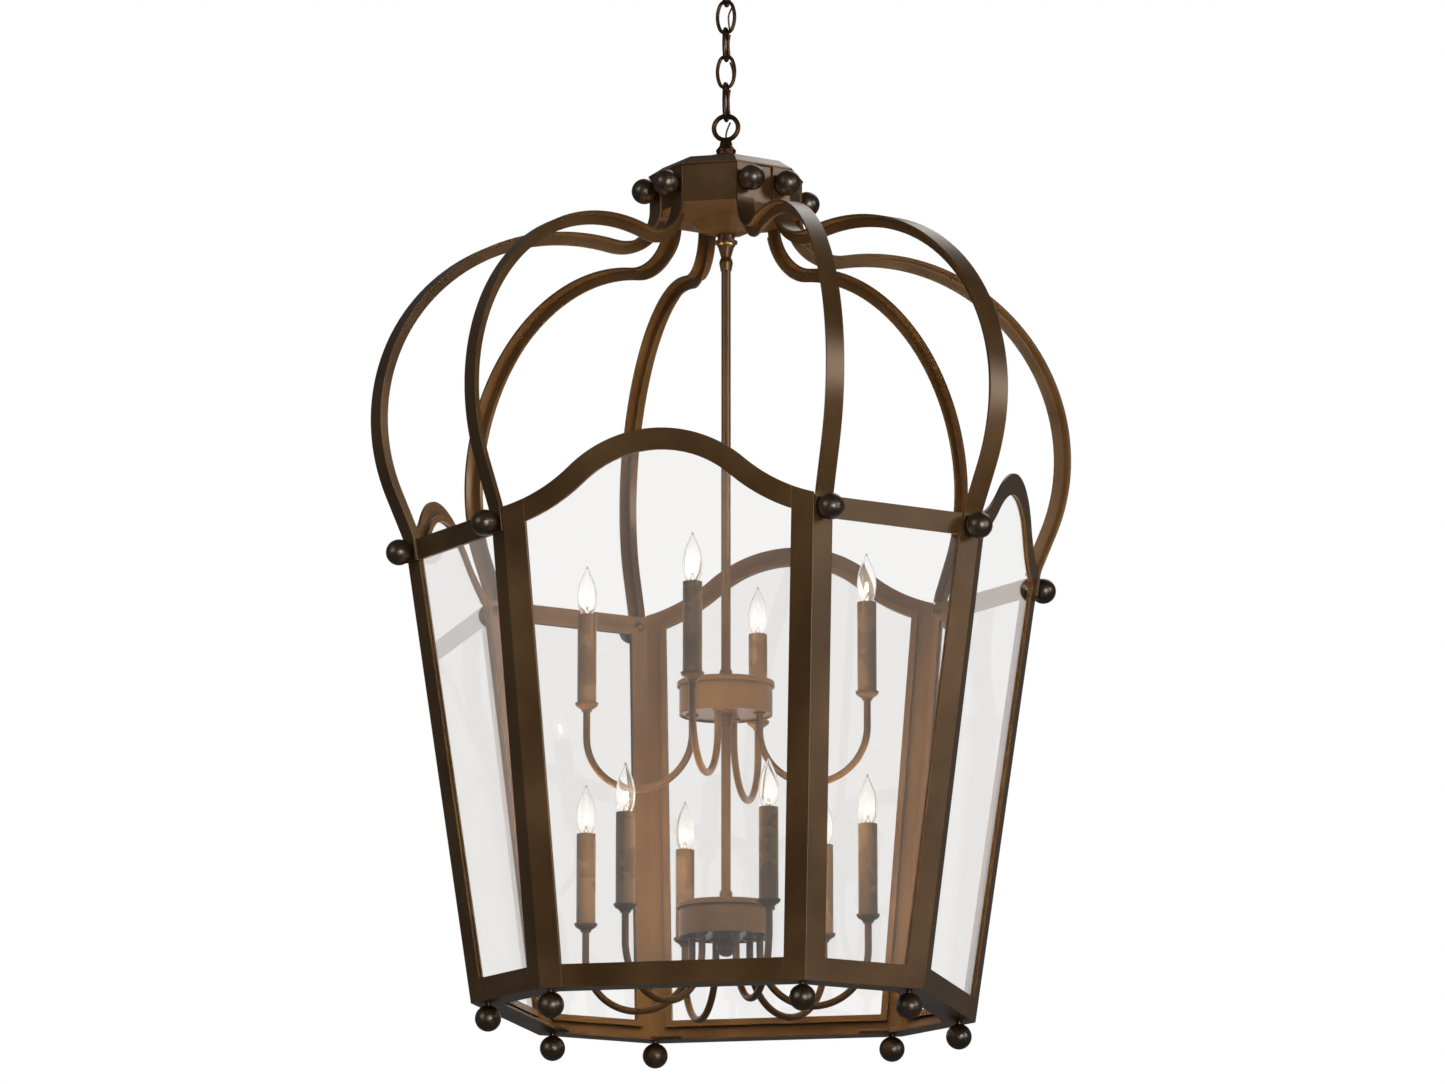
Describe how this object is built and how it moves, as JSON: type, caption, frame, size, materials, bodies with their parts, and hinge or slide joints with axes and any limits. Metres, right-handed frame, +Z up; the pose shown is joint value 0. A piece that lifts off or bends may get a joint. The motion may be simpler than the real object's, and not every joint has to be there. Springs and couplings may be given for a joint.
{
  "type": "lantern pendant light",
  "caption": "Large eight-sided glass lantern with arched top rails, an open dome of curved ribs and two tiers of candle lights, hung from the ceiling on a chain.",
  "frame": {"origin": "centre of the ceiling mounting strap's upper face, between its two slots, in the ceiling plane", "axes": "+Z up; the lantern hangs along -Z; the front wide face looks along -Y; the strap's slots lie along X"},
  "size_m": [0.8562, 0.8562, 1.4882],
  "materials": {
    "bronze": "satin oil-rubbed bronze paint with faint brushed mottling",
    "chain_bronze": "satin bronze paint, worn lighter at the hook points",
    "sleeve_bronze": "satin bronze candle sleeve",
    "brass": "satin brass",
    "zinc_steel": "dull zinc-plated steel, bronze-tinted",
    "pane_glass": "clear float glass",
    "bulb_glass": "thin clear lamp glass",
    "bulb_base": "nickel-coloured screw shell",
    "socket": "black moulded lamp socket",
    "cord": "thin brown insulated supply cord"
  },
  "bodies": {
    "canopy": {"mounting_strap": "zinc_steel", "shank_nut": "zinc_steel", "ceiling_canopy": "bronze", "canopy_collar": "bronze", "canopy_loop": "chain_bronze", "supply_cord_1": "cord"},
    "link_1": {"chain_link_1": "chain_bronze", "supply_cord_2": "cord"},
    "link_2": {"chain_link_2": "chain_bronze", "supply_cord_3": "cord"},
    "link_3": {"chain_link_3": "chain_bronze", "supply_cord_4": "cord"},
    "link_4": {"chain_link_4": "chain_bronze", "supply_cord_5": "cord"},
    "lantern": {"arched_rail_1": "bronze", "arched_rail_2": "bronze", "arched_rail_3": "bronze", "arched_rail_4": "bronze", "ball_nuts": "zinc_steel", "bottom_rails": "bronze", "bottom_ring": "bronze", "bulb_bases": "bulb_base", "bulbs": "bulb_glass", "candle_cups": "bronze", "candle_sleeves": "sleeve_bronze", "check_ring": "brass", "corner_posts": "bronze", "corner_tabs": "bronze", "coupling_cup": "bronze", "crown_balls": "bronze", "crown_drum": "bronze", "crown_loop": "chain_bronze", "crown_pan": "bronze", "crown_roof": "bronze", "foot_balls": "bronze", "girdle_balls": "bronze", "glass_stops": "bronze", "hub_finial": "bronze", "hub_lids": "bronze", "lamp_sockets": "socket", "lower_arms": "bronze", "lower_hub": "bronze", "lower_stem": "bronze", "narrow_panes": "pane_glass", "narrow_top_rails": "bronze", "rib_1": "bronze", "rib_2": "bronze", "rib_3": "bronze", "rib_4": "bronze", "rib_5": "bronze", "rib_6": "bronze", "rib_7": "bronze", "rib_8": "bronze", "stem_collars": "bronze", "stem_coupling": "bronze", "upper_arms": "bronze", "upper_hub": "bronze", "upper_stem": "bronze", "wide_panes": "pane_glass", "supply_cord_6": "cord"}
  },
  "joints": [
    {"name": "chain_twist", "type": "hinge", "parent": "canopy", "child": "link_1", "pos_m": [0, 0, -0.0742], "axis": [0, 0, 1], "range_deg": [-20, 20]},
    {"name": "chain_hook_2", "type": "hinge", "parent": "link_1", "child": "link_2", "pos_m": [0, 0, -0.1129], "axis": [1, 0, 0], "range_deg": [-30, 30]},
    {"name": "chain_hook_3", "type": "hinge", "parent": "link_2", "child": "link_3", "pos_m": [0, 0, -0.1515], "axis": [0, 1, 0], "range_deg": [-30, 30]},
    {"name": "chain_hook_4", "type": "hinge", "parent": "link_3", "child": "link_4", "pos_m": [0, 0, -0.1901], "axis": [1, 0, 0], "range_deg": [-30, 30]},
    {"name": "chain_hook_5", "type": "hinge", "parent": "link_4", "child": "lantern", "pos_m": [0, 0, -0.2359], "axis": [0, 1, 0], "range_deg": [-30, 30]}
  ]
}
